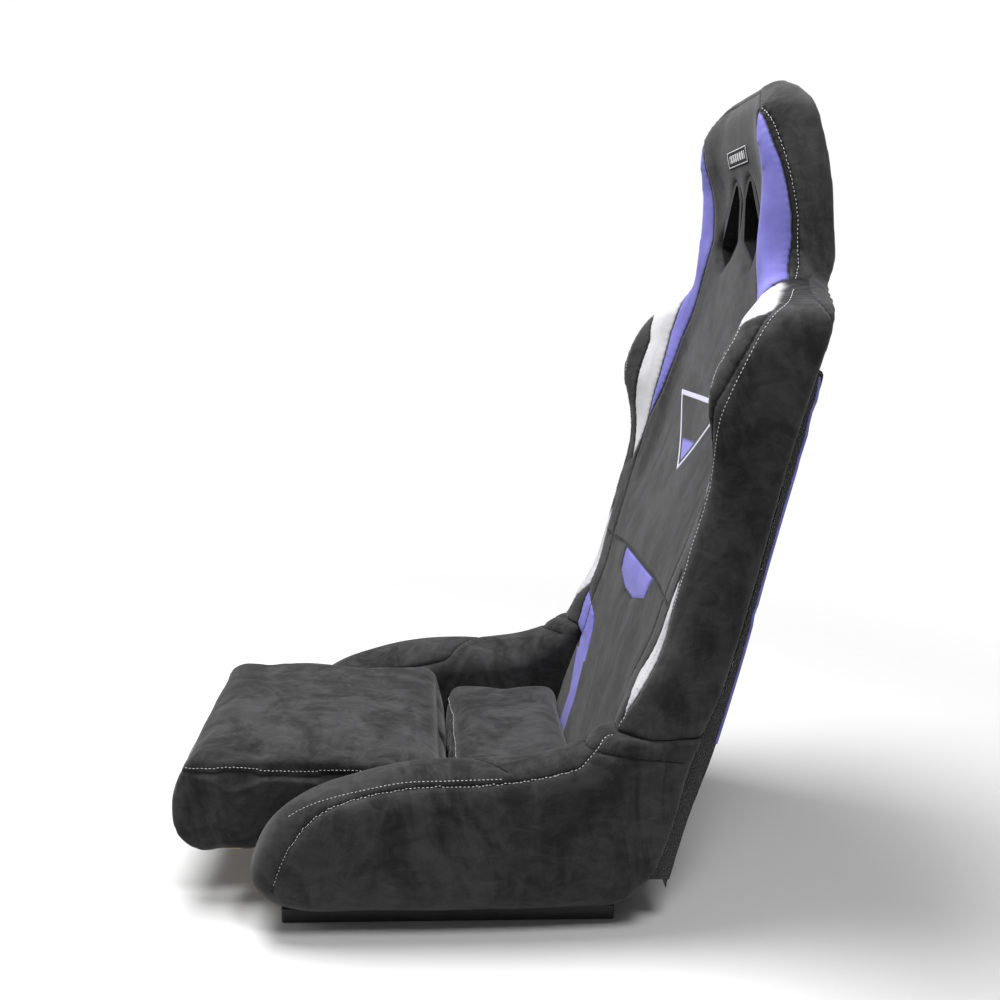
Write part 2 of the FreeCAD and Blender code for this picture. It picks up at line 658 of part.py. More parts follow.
def slot_space():
    """All that the head pad gives up to one slot and its two liners."""
    front, _, rear = slot_faces()
    tunnel = slot_prism(SLOT_WALL, front - 60, rear + 60)
    fore = slot_prism(SLOT_WALL + SLOT_FLANGE, front - 60, front + FLANGE_THICKNESS)
    aft = slot_prism(SLOT_WALL + SLOT_FLANGE, rear - FLANGE_THICKNESS, rear + 60)
    return tunnel.fuse([fore, aft]).removeSplitter()


def bezel_screws():
    """Pan-head screws seated on the rear flanges."""
    _, _, rear = slot_faces()
    spots = []
    count = len(SLOT_CORNERS)
    centre_x = sum(x for x, _ in SLOT_CORNERS) / count
    centre_z = sum(z for _, z in SLOT_CORNERS) / count
    for i in (1, 3, 4):
        (x0, z0), (x1, z1) = SLOT_CORNERS[i], SLOT_CORNERS[(i + 1) % count]
        run = math.hypot(x1 - x0, z1 - z0)
        out = Vector((z0 - z1) / run, 0, (x1 - x0) / run)
        mid = Vector((x0 + x1) / 2, 0, (z0 + z1) / 2)
        if out.dot(mid - Vector(centre_x, 0, centre_z)) < 0:
            out = out * -1
        spots.append(mid + out * (SLOT_WALL + SLOT_FLANGE / 2))
    screws = []
    for spot in spots:
        start = Vector(spot.x, rear, SLOT_DATUM_Z + spot.z)
        head = rod(start, start + Vector(0, SCREW_HEAD_HEIGHT, 0), SCREW_HEAD_R)
        drive = rod(start + Vector(0, SCREW_HEAD_HEIGHT / 2, 0),
                    start + Vector(0, SCREW_HEAD_HEIGHT, 0), SCREW_HEAD_R / 2)
        screws.append(head.cut(drive))
    return Part.makeCompound(screws + [mirrored(s) for s in screws])


# ---- trim on the front of the back -------------------------------------------

def trim_outline(corners, radius):
    points = [Vector(x, -50, z) for x, z in corners]
    return Part.Face(rounded_outline(points, [radius] * len(points)))


def trim_plate(body, corners, radius):
    """Thin plate that lies on the pad's front face inside an outline."""
    prism = trim_outline(corners, radius).extrude(Vector(0, 450, 0))
    proud = body.copy()
    proud.translate(Vector(0, -TRIM_THICKNESS, 0))
    return largest(proud.common(prism).cut(body))


def trims(body):
    label_z = back_height(0.891)
    emblem_z = back_height(0.436)
    w, h = LABEL_SIZE[0] / 2, LABEL_SIZE[1] / 2
    ew, eh = EMBLEM_SIZE[0] / 2, EMBLEM_SIZE[1] / 2
    patch_top = LUMBAR_Z - 4
    label = [(-w, label_z - h), (w, label_z - h), (w, label_z + h), (-w, label_z + h)]
    emblem = [(0, emblem_z - eh), (ew, emblem_z + 0.6 * eh), (0.55 * ew, emblem_z + eh),
              (-0.55 * ew, emblem_z + eh), (-ew, emblem_z + 0.6 * eh)]
    patch = [(-44, patch_top - 54), (44, patch_top - 54), (90, patch_top - 26), (92, patch_top),
             (-92, patch_top), (-90, patch_top - 26)]
    return {
        "head_label": trim_plate(body, label, 3.0),
        "back_emblem": trim_plate(body, emblem, 5.0),
        "lumbar_patch": trim_plate(body, patch, 5.0),
    }


# ---- webbing, tapes and the rear flap ----------------------------------------

def back_webbing():
    """Straps behind the centre pads, carried on the uprights."""
    front = rear_face.moved(-RECESS_DEPTH + STRAP_CLEARANCE)
    rear = rear_face.moved(-RECESS_DEPTH + STRAP_CLEARANCE + STRAP_THICKNESS)
    half = PAD_HALF - 0.5
    return Part.makeCompound([band(front, rear, z, z + STRAP_WIDTH, (-half, half))
                              for z in STRAP_ZS])


def loop_tape():
    return band(rear_face, rear_face.moved(TAPE_THICKNESS), TAPE_Z[0], TAPE_Z[1],
                (TAPE_INNER_X, TAPE_INNER_X + TAPE_WIDTH))


def flap_pieces():
    """Rear flap at rest: outer skin, padding, hook tapes and edge tapes."""
    lining = rear_face.moved(2 * TAPE_THICKNESS + PIECE_GAP)
    half = FLAP_HALF - TAPE_THICKNESS
    skin = band(flap_face.moved(-FLAP_SKIN), flap_face, FLAP_FOOT_Z, FLAP_TOP_Z,
                (-half, half))

    padding = band(lining, flap_face.moved(-FLAP_SKIN), FLAP_FOOT_Z + FLAP_FOOT_STEP,
                   FLAP_TOP_Z, (-half, half))
    edge = band(lining, flap_face.moved(-1.0), FLAP_FOOT_Z + FLAP_FOOT_STEP, FLAP_TOP_Z,
                (half, FLAP_HALF))
    hook_front = rear_face.moved(TAPE_THICKNESS + PIECE_GAP)
    hook = band(hook_front, lining, TAPE_Z[0], TAPE_Z[1],
                (TAPE_INNER_X, TAPE_INNER_X + TAPE_WIDTH))
    return {
        "flap_skin": skin,
        "flap_padding": padding,
        "flap_edge_tape_left": edge,
        "flap_edge_tape_right": mirrored(edge),
        "flap_hook_tape_left": hook,
        "flap_hook_tape_right": mirrored(hook),
    }


def flap_hinge_strip():
    """Sewn strip above the flap, on the back's rear face."""
    low = FLAP_TOP_Z + PIECE_GAP
    half = FLAP_HALF - 6
    return band(rear_face, rear_face.moved(4.0), low, low + HINGE_STRIP_HEIGHT, (-half, half))


# ---- the whole seat ----------------------------------------------------------

def build():
    bars = frame_bars(0.0)
    clear = frame_bars(FOAM_TUBE_CLEARANCE)
    nodes = frame_tubes(bars)
    rail = base_rail()
    saddles = rail_saddles(bars)
    nodes["pan_bearers"] = pan_bearers(bars)
    nodes["seat_pan"] = seat_pan()

    body = back_body()
    low_frame = [clear[name] for name in ("side_tube", "spine", "leg_loop", "front_cross",
                                          "rear_cross", "lumbar")]
    leg = largest(leg_bolster_body().cut(low_frame + saddle_blocks(FOAM_TUBE_CLEARANCE)))
    shoulder = largest(back_bolster(body).cut([clear["spine"], clear["lumbar"]]))
    slots = [slot_space(), mirrored(slot_space())]
    cutters = {"foot_pad": [clear["spine"]],
               "lower_back_pad": [clear["lumbar"]],
               "upper_back_pad": [clear["spine"], clear["harness"]],
               "head": [clear["spine"], clear["harness"]] + slots}
    for name, pad in centre_pads(body).items():
        nodes[name] = largest(pad.cut(cutters.get(name, cutters["head"])))
    nodes.update(seat_cushions())

    bezels = slot_bezels()
    tape = loop_tape()
    for name, side in SIDES:
        for piece, shape in (("base_rail", rail), ("rail_saddles", saddles),
                             ("leg_bolster", leg), ("back_bolster", shoulder),
                             ("slot_bezel_front", bezels["front"]),
                             ("slot_bezel_rear", bezels["rear"]), ("loop_tape", tape)):
            nodes[piece + "_" + name] = shape if side > 0 else mirrored(shape)
    nodes["bezel_screws"] = bezel_screws()
    nodes.update(trims(body))
    nodes["back_webbing"] = back_webbing()
    nodes.update(flap_pieces())
    nodes["flap_hinge_strip"] = flap_hinge_strip()
    return nodes


os.makedirs("parts", exist_ok=True)
for node, shape in build().items():
    shape.exportStep("parts/" + node + ".step")
    print(node, len(shape.Solids), round(shape.Volume), shape.isValid())
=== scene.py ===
import json
import math

import bmesh
import bpy
import numpy as np
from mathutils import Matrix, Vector
from mathutils.bvhtree import BVHTree
from mathutils.kdtree import KDTree


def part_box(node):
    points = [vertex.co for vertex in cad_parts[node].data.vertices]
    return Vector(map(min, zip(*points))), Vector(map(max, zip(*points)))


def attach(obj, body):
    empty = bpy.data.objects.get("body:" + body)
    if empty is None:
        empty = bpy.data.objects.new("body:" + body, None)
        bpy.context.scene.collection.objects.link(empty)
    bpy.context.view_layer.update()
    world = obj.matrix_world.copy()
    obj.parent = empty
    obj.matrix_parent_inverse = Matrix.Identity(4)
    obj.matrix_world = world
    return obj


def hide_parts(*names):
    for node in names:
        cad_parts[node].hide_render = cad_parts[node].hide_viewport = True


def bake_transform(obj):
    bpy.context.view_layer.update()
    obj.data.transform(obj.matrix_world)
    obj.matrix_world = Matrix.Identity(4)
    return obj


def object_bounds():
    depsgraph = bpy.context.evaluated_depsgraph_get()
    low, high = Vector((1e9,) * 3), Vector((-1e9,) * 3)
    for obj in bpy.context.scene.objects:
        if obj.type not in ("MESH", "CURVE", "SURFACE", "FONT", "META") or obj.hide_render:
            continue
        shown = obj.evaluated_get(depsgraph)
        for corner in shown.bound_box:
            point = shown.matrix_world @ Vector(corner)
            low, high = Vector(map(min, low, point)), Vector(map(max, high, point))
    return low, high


# Racing seat: upholstery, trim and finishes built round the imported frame.
# Metres in the frame's axes. Lists of seam points are in millimetres for reading.

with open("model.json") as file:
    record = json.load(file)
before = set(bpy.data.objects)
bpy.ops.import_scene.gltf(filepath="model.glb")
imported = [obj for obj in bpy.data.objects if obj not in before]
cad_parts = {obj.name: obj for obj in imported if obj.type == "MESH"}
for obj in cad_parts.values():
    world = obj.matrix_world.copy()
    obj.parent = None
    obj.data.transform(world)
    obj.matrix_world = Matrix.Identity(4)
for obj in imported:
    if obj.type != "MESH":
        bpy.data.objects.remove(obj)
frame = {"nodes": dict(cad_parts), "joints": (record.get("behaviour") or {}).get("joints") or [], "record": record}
cad_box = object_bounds()
MM = 0.001
COVER_VOXEL = 5.0 * MM       # even quads of the foam covers, before they are subdivided
FLAP_VOXEL = 3.0 * MM
STITCH_PITCH = 4.6 * MM
STITCH_LENGTH = 3.1 * MM
THREAD_RADIUS = 0.42 * MM
PIPING_RADIUS = 1.8 * MM
SIDES = (("left", 1), ("right", -1))


# ---- camera ------------------------------------------------------------------

def place_camera():
    camera = bpy.data.objects.new("camera", bpy.data.cameras.new("camera"))
    bpy.context.collection.objects.link(camera)
    camera.location = (1.350, -0.0235, 0.6885)
    ahead = Vector((-0.98362403, 0.0219945, -0.17888544))
    camera.rotation_euler = ahead.to_track_quat("-Z", "Y").to_euler()
    camera.data.lens = 39.6
    camera.data.sensor_width = 36.0
    camera.data.shift_x = 0.05
    bpy.context.scene.camera = camera


place_camera()


# ---- shader maths ------------------------------------------------------------

class Value:
    """A socket that adds Math nodes when it is used in an expression."""

    def __init__(self, maker, socket):
        self.maker = maker
        self.socket = socket

    def math(self, operation, *others):
        return self.maker.node("ShaderNodeMath", {"operation": operation},
                               {i: v for i, v in enumerate((self,) + others)})

    def __add__(self, other):
        return self.math("ADD", other)

    def __radd__(self, other):
        return self.math("ADD", other)

    def __sub__(self, other):
        return self.math("SUBTRACT", other)

    def __rsub__(self, other):
        return self.maker.number(other).math("SUBTRACT", self)

    def __mul__(self, other):
        return self.math("MULTIPLY", other)

    def __rmul__(self, other):
        return self.math("MULTIPLY", other)

    def __truediv__(self, other):
        return self.math("DIVIDE", other)

    def __abs__(self):
        return self.math("ABSOLUTE")

    def most(self, other):
        return self.math("MAXIMUM", other)

    def step(self, low, high, out_low=0.0, out_high=1.0):
        """Smooth rise from out_low at low to out_high at high."""
        return self.maker.node("ShaderNodeMapRange", {"interpolation_type": "SMOOTHSTEP"},
                               {"Value": self, "From Min": low, "From Max": high,
                                "To Min": out_low, "To Max": out_high})


class Finish:
    """One procedural material."""

    def __init__(self, name):
        self.material = bpy.data.materials.new(name)
        self.material.use_nodes = True
        self.tree = self.material.node_tree
        self.shader = self.tree.nodes["Principled BSDF"]
        self.place = self.node("ShaderNodeTexCoord", {}, {}, "Object")

    def node(self, kind, settings, inputs, output=0):
        node = self.tree.nodes.new(kind)
        for name, value in settings.items():
            setattr(node, name, value)
        for key, value in inputs.items():
            if isinstance(value, Value):
                self.tree.links.new(value.socket, node.inputs[key])
            else:
                node.inputs[key].default_value = value
        return Value(self, node.outputs[output])

    def number(self, value):
        return self.node("ShaderNodeMath", {"operation": "ADD"}, {0: value, 1: 0.0})

    def attribute(self, name):
        return self.node("ShaderNodeAttribute", {"attribute_name": name}, {}, "Fac")

    def noise(self, scale, detail=3.0, rough=0.5, vector=None, distortion=0.0):
        return self.node("ShaderNodeTexNoise", {},
                         {"Vector": vector or self.place, "Scale": scale, "Detail": detail,
                          "Roughness": rough, "Distortion": distortion}, 0)

    def cells(self, scale, vector=None):
        return self.node("ShaderNodeTexVoronoi", {}, {"Vector": vector or self.place,
                                                      "Scale": scale}, "Distance")

    def stretched(self, scale):
        return self.node("ShaderNodeMapping", {}, {"Vector": self.place, "Scale": scale})

    def axis(self, name):
        return self.node("ShaderNodeSeparateXYZ", {}, {0: self.place}, name)

    def mix(self, factor, a, b):
        """Colour a where the factor is 0 and b where it is 1."""
        return self.node("ShaderNodeMix", {"data_type": "RGBA"},
                         {0: factor, 6: a, 7: b}, 2)

    def bump(self, height, distance, strength=1.0, normal=None):
        inputs = {"Height": height, "Distance": distance, "Strength": strength}
        if normal:
            inputs["Normal"] = normal
        return self.node("ShaderNodeBump", {}, inputs)

    def set(self, **sockets):
        for name, value in sockets.items():
            key = name.replace("_", " ")
            if isinstance(value, Value):
                self.tree.links.new(value.socket, self.shader.inputs[key])
            else:
                self.shader.inputs[key].default_value = value
        return self.material


def grey(level):
    return (level, level, level * 1.02, 1.0)


# SUEDE_LIT is a lit copy of the black suede, used for a painted highlight in its nap.
SUEDE_DARK = (0.0048, 0.0048, 0.0052, 1)
SUEDE_LIT = (0.036, 0.0355, 0.037, 1)
# The deeper purple and pale are shaded copies of the panel colours, used for painted shade.
PURPLE = (0.150, 0.143, 0.420, 1)
PURPLE_SHADED = (0.105, 0.098, 0.330, 1)
PALE = (0.460, 0.460, 0.480, 1)
PALE_SHADED = (0.360, 0.360, 0.385, 1)


def suede_colours(f, lit=SUEDE_LIT):
    """Brushed pile: broad strokes, small clouds and fine grain, which mix the near-black suede with SUEDE_LIT, a
    lit copy of it; partly random tone of the pile, partly a painted highlight of its sheen.
    """
    strokes = f.noise(11.0, 6.0, 0.68, f.stretched((1.0, 1.0, 0.40)), 1.6)
    clouds = f.noise(52.0, 6.0, 0.72, f.stretched((1.0, 0.6, 1.0)), 0.8)
    grain = f.noise(900.0, 2.0, 0.7)
    nap_and_sheen = strokes.step(0.40, 0.62) * 0.50 + clouds.step(0.40, 0.64) * 0.35 + grain * 0.15
    # Painted highlight: where the brushing noise is high, the suede turns to its lit copy.
    return nap_and_sheen, f.mix(nap_and_sheen, SUEDE_DARK, lit)


def pile_bump(f, nap_and_sheen, extra=None):
    """Fibre-scale relief under broader brushing marks."""
    fibres = f.cells(1500.0)
    height = fibres * 0.5 + nap_and_sheen * 0.6
    fine = f.bump(height, 0.00035, 0.55)
    if extra is None:
        return fine
    return f.bump(extra, 0.0012, 0.8, fine)


def suede_finish():
    f = Finish("black_suede")
    nap_and_sheen, colour = suede_colours(f)
    return f.set(Base_Color=colour, Roughness=nap_and_sheen * -0.10 + 0.93, Sheen_Weight=0.16,
                 Sheen_Roughness=0.45, Sheen_Tint=grey(0.75), Specular_IOR_Level=0.22,
                 Normal=pile_bump(f, nap_and_sheen))


def cover_finish():
    """Black suede with purple and pale panels, by the signed distances kept on the cover."""
    f = Finish("panelled_cover")
    purple = f.attribute("purple_mm")
    pale = f.attribute("pale_mm")
    badge = f.attribute("badge_mm")
    seam = f.attribute("seam_mm")
    nap_and_sheen, colour = suede_colours(f)
    soft = f.noise(26.0, 4.0, 0.6).step(0.3, 0.72)
    weave = f.cells(1300.0)
    is_purple = purple.step(-0.25, 0.25)
    is_pale = pale.step(-0.25, 0.25)
    # Painted shade: the mottling mixes each panel colour with its darker, shaded copy; partly random tone of the
    # cloth, partly painted shade.
    colour = f.mix(is_purple, colour, f.mix(soft, PURPLE_SHADED, PURPLE))
    colour = f.mix(is_pale, colour, f.mix(soft, PALE_SHADED, PALE))
    ring = badge.step(-0.3, 0.3) * (1 - badge.step(4.2, 4.8))
    chevron = badge.step(9.7, 10.3) * (1 - badge.step(16.7, 17.3))
    colour = f.mix(ring, colour, (0.42, 0.42, 0.50, 1))
    colour = f.mix(chevron, colour, PURPLE)
    # Painted shade: the colour turns near black along the seams and panel edges, where the cover sinks into its
    # grooves; the same mask also shapes the groove bump.
    crease_and_shade = seam.step(0.3, 2.4)
    colour = f.mix(crease_and_shade, (0.004, 0.004, 0.005, 1), colour)
    tone = is_purple.most(is_pale)
    return f.set(Base_Color=colour, Roughness=nap_and_sheen * -0.10 + 0.93 - tone * 0.18,
                 Sheen_Weight=0.16, Sheen_Roughness=0.45, Sheen_Tint=grey(0.75),
                 Specular_IOR_Level=0.22,
                 Normal=pile_bump(f, nap_and_sheen, crease_and_shade * 1.0 + weave * 0.05 + ring * 0.5))


def thread_finish():
    f = Finish("stitch_thread")
    twist = f.noise(2600.0, 1.0)
    return f.set(Base_Color=f.mix(twist, (0.30, 0.30, 0.31, 1), (0.62, 0.62, 0.62, 1)),
                 Roughness=0.62, Normal=f.bump(twist, 0.0002, 0.6))


def gloss_finish():
    f = Finish("gloss_black_moulding")
    haze = f.noise(60.0, 3.0)
    marks = f.noise(420.0, 2.0, 0.6, f.stretched((1.0, 0.2, 1.0)))
    return f.set(Base_Color=f.mix(haze, (0.010, 0.010, 0.011, 1), (0.018, 0.018, 0.019, 1)),
                 Roughness=marks.step(0.45, 0.8, 0.14, 0.30), Coat_Weight=0.8,
                 Coat_Roughness=0.08, Normal=f.bump(marks, 0.0001, 0.25))


def paint_finish(name, base, rough):
    """Powder coat with a fine orange-peel skin, dust and rubbed edges."""
    f = Finish(name)
    peel = f.noise(700.0, 2.0, 0.5)
    dust = f.noise(16.0, 5.0, 0.65).step(0.45, 0.8)
    worn = f.noise(140.0, 4.0, 0.7).step(0.62, 0.78) * 0.35
    colour = f.mix(dust * 0.5, base, (base[0] * 1.9, base[1] * 1.9, base[2] * 1.9, 1))
    colour = f.mix(worn, colour, (0.09, 0.09, 0.092, 1))
    return f.set(Base_Color=colour, Roughness=dust * 0.14 + rough,
                 Normal=f.bump(peel, 0.00035, 0.5))


def steel_finish():
    f = Finish("zinc_plate")
    brushed = f.noise(900.0, 3.0, 0.6, f.stretched((1.0, 1.0, 0.08)))
    return f.set(Base_Color=f.mix(brushed, (0.34, 0.34, 0.35, 1), (0.52, 0.52, 0.50, 1)),
                 Metallic=1.0, Roughness=brushed * 0.25 + 0.25,
                 Normal=f.bump(brushed, 0.0001, 0.4))


def ply_finish():
    f = Finish("birch_ply")
    grain = f.noise(30.0, 6.0, 0.7, f.stretched((0.25, 3.0, 1.0)), 0.6)
    plies = (f.axis("Z") * 4200.0).math("SINE").step(-0.2, 0.2)
    face = f.mix(grain, (0.42, 0.27, 0.14, 1), (0.66, 0.49, 0.30, 1))
    return f.set(Base_Color=f.mix(plies * 0.25, face, (0.25, 0.14, 0.06, 1)), Roughness=0.72,
                 Normal=f.bump(grain, 0.0004, 0.4))


def webbing_finish():
    f = Finish("woven_webbing")
    across = (f.axis("X") * 3200.0).math("SINE")
    along = (f.axis("Z") * 2100.0).math("SINE")
    weave = (across * along).step(-0.5, 0.5)
    return f.set(Base_Color=f.mix(weave, (0.008, 0.008, 0.009, 1), (0.035, 0.035, 0.037, 1)),
                 Roughness=0.8, Sheen_Weight=0.2, Normal=f.bump(weave, 0.0006, 0.8))


def fuzzy_finish():
    """Hook-and-loop band: dark pile with pale flecks."""
    f = Finish("hook_and_loop")
    curls = f.cells(620.0)
    flecks = f.noise(480.0, 3.0, 0.75).step(0.60, 0.70)
    colour = f.mix(flecks * 0.75, (0.006, 0.006, 0.007, 1), (0.10, 0.10, 0.105, 1))
    return f.set(Base_Color=colour, Roughness=0.95, Sheen_Weight=0.4,
                 Normal=f.bump(curls, 0.0015, 1.0))


def flap_finish():
    """Black suede, brushed downwards, with the painted highlight of its nap."""
    f = Finish("flap_cover")
    nap_and_sheen, colour = suede_colours(f)
    return f.set(Base_Color=colour, Roughness=0.9, Sheen_Weight=0.3, Specular_IOR_Level=0.25,
                 Normal=pile_bump(f, nap_and_sheen))


def purple_cloth():
    f = Finish("purple_piping")
    soft = f.noise(60.0, 4.0, 0.6).step(0.3, 0.72)
    weave = f.cells(1300.0)
    # Painted shade: the mottling mixes the purple with its darker, shaded copy; partly random tone of the cloth,
    # partly painted shade.
    return f.set(Base_Color=f.mix(soft, PURPLE_SHADED, PURPLE), Roughness=0.8, Sheen_Weight=0.2,
                 Normal=f.bump(weave, 0.0004, 0.6))


def label_finish():
    """Woven label: black ground, silver border and plain silver bars."""
    f = Finish("woven_label")
    x = abs(f.axis("X")) * 1000.0
    z = (f.axis("Z") * 1000.0 - LABEL_Z).math("ABSOLUTE")
    border = x.step(36.6, 37.0).most(z.step(7.8, 8.1)) * (1 - x.step(38.6, 39.0).most(
        z.step(8.9, 9.2)))
    bars = ((f.axis("X") * 1000.0 + 200.0) / 9.0).math("FRACT").step(0.30, 0.34) * (
        1 - x.step(30.5, 31.0)) * (1 - z.step(4.2, 4.6))
    weave = f.cells(1800.0)
    silver = border.most(bars)
    return f.set(Base_Color=f.mix(silver, (0.012, 0.012, 0.013, 1), (0.60, 0.60, 0.62, 1)),
                 Roughness=0.55, Normal=f.bump(weave + silver, 0.0003, 0.7))


LABEL_Z = sum(corner[2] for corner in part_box("head_label")) / 2 / MM


# ---- meshes ------------------------------------------------------------------

def new_object(name, mesh):
    obj = bpy.data.objects.new(name, mesh)
    bpy.context.collection.objects.link(obj)
    return obj


def joined(name, nodes):
    """One mesh from copies of the CAD nodes."""
    bm = bmesh.new()
    for node in nodes:
        bm.from_mesh(frame["nodes"][node].data)
    bmesh.ops.remove_doubles(bm, verts=bm.verts, dist=1e-6)
    mesh = bpy.data.meshes.new(name)
    bm.to_mesh(mesh)
    bm.free()
    return new_object(name, mesh)


def settle(obj):
    """Applies every modifier."""
    graph = bpy.context.evaluated_depsgraph_get()
    mesh = bpy.data.meshes.new_from_object(obj.evaluated_get(graph))
    obj.modifiers.clear()
    obj.data = mesh
    return obj


def points_of(obj):
    flat = np.empty(len(obj.data.vertices) * 3)
    obj.data.vertices.foreach_get("co", flat)
    return flat.reshape(-1, 3)


def normals_of(obj):
    flat = np.empty(len(obj.data.vertices) * 3)
    obj.data.vertices.foreach_get("normal", flat)
    return flat.reshape(-1, 3)


def put_points(obj, points):
    obj.data.vertices.foreach_set("co", points.ravel())
    obj.data.update()


def keep_largest(obj):
    """Drops shells inside the cover, such as the frame's channels."""
    count = len(obj.data.vertices)
    pairs = np.empty(len(obj.data.edges) * 2, dtype=np.int64)
    obj.data.edges.foreach_get("vertices", pairs)
    pairs = pairs.reshape(-1, 2)
    label = np.arange(count)
    while True:
        low = np.minimum(label[pairs[:, 0]], label[pairs[:, 1]])
        fresh = label.copy()
        np.minimum.at(fresh, pairs[:, 0], low)
        np.minimum.at(fresh, pairs[:, 1], low)
        fresh = fresh[fresh]
        if (fresh == label).all():
            break
        label = fresh
    main = np.bincount(label).argmax()
    bm = bmesh.new()
    bm.from_mesh(obj.data)
    bm.verts.ensure_lookup_table()
    loose = [bm.verts[i] for i in np.nonzero(label != main)[0]]
    bmesh.ops.delete(bm, geom=loose, context="VERTS")
    bm.to_mesh(obj.data)
    bm.free()
    return obj


def remeshed(obj, voxel, relax):
    """Even quads over the outer skin, with its edges eased."""
    remesh = obj.modifiers.new("even", "REMESH")
    remesh.mode = "VOXEL"
    remesh.voxel_size = voxel
    settle(obj)
    keep_largest(obj)
    if relax:
        ease = obj.modifiers.new("ease", "SMOOTH")
        ease.factor = 0.5
        ease.iterations = relax
        settle(obj)
    return obj


def eased(obj, weights, rounds):
    """Extra smoothing where the weights say."""
    group = obj.vertex_groups.new(name="eased")
    for i in np.nonzero(weights > 0.02)[0]:
        group.add([int(i)], float(weights[i]), "REPLACE")
    ease = obj.modifiers.new("local_ease", "SMOOTH")
    ease.vertex_group = group.name
    ease.factor = 0.5
    ease.iterations = rounds
    settle(obj)
    obj.vertex_groups.clear()


def subdivided(obj):
    finer = obj.modifiers.new("finer", "SUBSURF")
    finer.levels = 1
    finer.render_levels = 1
    return settle(obj)


def smooth_shaded(obj):
    obj.data.polygons.foreach_set("use_smooth", [True] * len(obj.data.polygons))
    return obj


def keep_values(obj, name, values):
    """Stores a number on each vertex for the materials."""
    layer = obj.data.attributes.new(name, "FLOAT", "POINT")
    layer.data.foreach_set("value", values.astype(np.float32))


def keep_plain(obj, gap):
    """Values of a cover with seams and no coloured panels."""
    for field in ("purple_mm", "pale_mm", "badge_mm"):
        keep_values(obj, field, np.full(len(gap), -20.0))
    keep_values(obj, "seam_mm", gap)


def wear(obj, material):
    obj.data.materials.clear()
    obj.data.materials.append(material)
    return obj


# ---- seams -------------------------------------------------------------------

def curve_through(points, step=1.0):
    """Catmull-Rom points through millimetre stations, about one step apart."""
    p = np.array([points[0]] + list(points) + [points[-1]], dtype=float)
    out = []
    for i in range(1, len(p) - 2):
        count = max(2, int(np.linalg.norm(p[i + 1] - p[i]) / step))
        t = np.linspace(0, 1, count, endpoint=False)[:, None]
        a, b, c, d = p[i - 1], p[i], p[i + 1], p[i + 2]
        out.append(0.5 * (2 * b + (c - a) * t + (2 * a - 5 * b + 4 * c - d) * t ** 2
                          + (3 * b - a - 3 * c + d) * t ** 3))
    out.append(p[-2][None])
    return np.concatenate(out)


def snapped(line, tree):
    """The line laid on the cover: points in metres and outward normals."""
    places, outs = [], []
    for point in line * MM:
        place, normal, _, _ = tree.find_nearest(Vector(point))
        places.append(place)
        outs.append(normal)
    return np.array(places), np.array(outs)


def tree_of(obj):
    mesh = obj.data
    return BVHTree.FromPolygons([v.co for v in mesh.vertices],
                                [tuple(p.vertices) for p in mesh.polygons])


def distance_to(points, lines, cap=0.02):
    """Distance in millimetres from each point to the nearest laid line."""
    every = np.concatenate(lines)
    tree = KDTree(len(every))
    for i, p in enumerate(every):
        tree.insert(p, i)
    tree.balance()
    low = every.min(axis=0) - cap
    high = every.max(axis=0) + cap
    near = ((points > low) & (points < high)).all(axis=1)
    gap = np.full(len(points), cap)
    for i in np.nonzero(near)[0]:
        gap[i] = min(cap, tree.find(points[i])[2])
    return gap / MM


def flip(points):
    return [(-x, y, z) for x, y, z in points]


# Seams of the back cover, sitter's left: X, Y, Z in millimetres.
HEAD_SIDE = [(118, 336, 893), (129, 343, 885), (135, 352, 866), (141, 360, 843),
             (145, 368, 813), (147, 375, 780), (154, 377, 731), (170, 369, 709)]
HEAD_TOP = [(-118, 336, 893), (-88, 344, 912), (-50, 352, 921), (0, 356, 924),
            (50, 352, 921), (88, 344, 912), (118, 336, 893)]
NECK = [(170, 366, 709), (190, 372, 700), (227, 372, 690), (250, 376, 680), (257, 384, 668)]
SHOULDER_OUTER = [(181, 364, 703), (228, 344, 688), (250, 324, 676), (258, 307, 653),
                  (259, 294, 626), (256, 282, 597), (248, 273, 562), (228, 273, 506),
                  (222, 259, 437), (221, 248, 397), (214, 232, 336), (217, 212, 288),
                  (223, 184, 228)]
SHOULDER_CREST = [(185, 355, 701), (228, 334, 688), (244, 319, 676), (256, 298, 645),
                  (253, 277, 604), (247, 268, 583), (238, 268, 552), (222, 262, 506),
                  (216, 251, 460)]
SHOULDER_INNER = [(222, 303, 671), (236, 294, 645), (238, 274, 604), (234, 264, 583)]
LUMBAR_SEAM = [(206, 244, 360), (150, 243, 362), (92, 245, 366), (0, 246, 367),
               (-92, 245, 366), (-150, 243, 362), (-206, 244, 360)]
PAD_EDGE = [(101, 349, 765), (118, 343, 718), (140, 336, 680), (158, 325, 635),
            (167, 305, 567), (185, 288, 518), (186, 272, 468), (180, 262, 430),
            (172, 250, 390), (165, 238, 345), (160, 222, 300), (152, 206, 250), (150, 196, 226)]
LEG_TOP = [(223, 181, 224), (240, 150, 200), (246, 134, 193), (249, 78, 182), (252, 21, 179),
           (251, -35, 177), (250, -98, 165), (253, -142, 146), (258, -173, 109),
           (250, -190, 62)]
LEG_CREST = [(247, 60, 184), (248, 1, 183), (246, -52, 180), (244, -117, 165),
             (242, -155, 151), (240, -176, 136)]
LEG_CAP = [(240, 62, 190), (222, 43, 194), (198, 20, 186), (183, 3, 173), (176, -40, 166),
           (175, -90, 158)]
PLEAT = [(180, 172, 212), (215, 150, 213), (244, 164, 211), (254, 214, 206), (250, 250, 201)]


# ---- covers ------------------------------------------------------------------

def ramp(stations):
    """Linear curve through (position, value) stations."""
    xs = [s[0] for s in stations]
    ys = [s[1] for s in stations]
    return lambda x: np.interp(x, xs, ys)


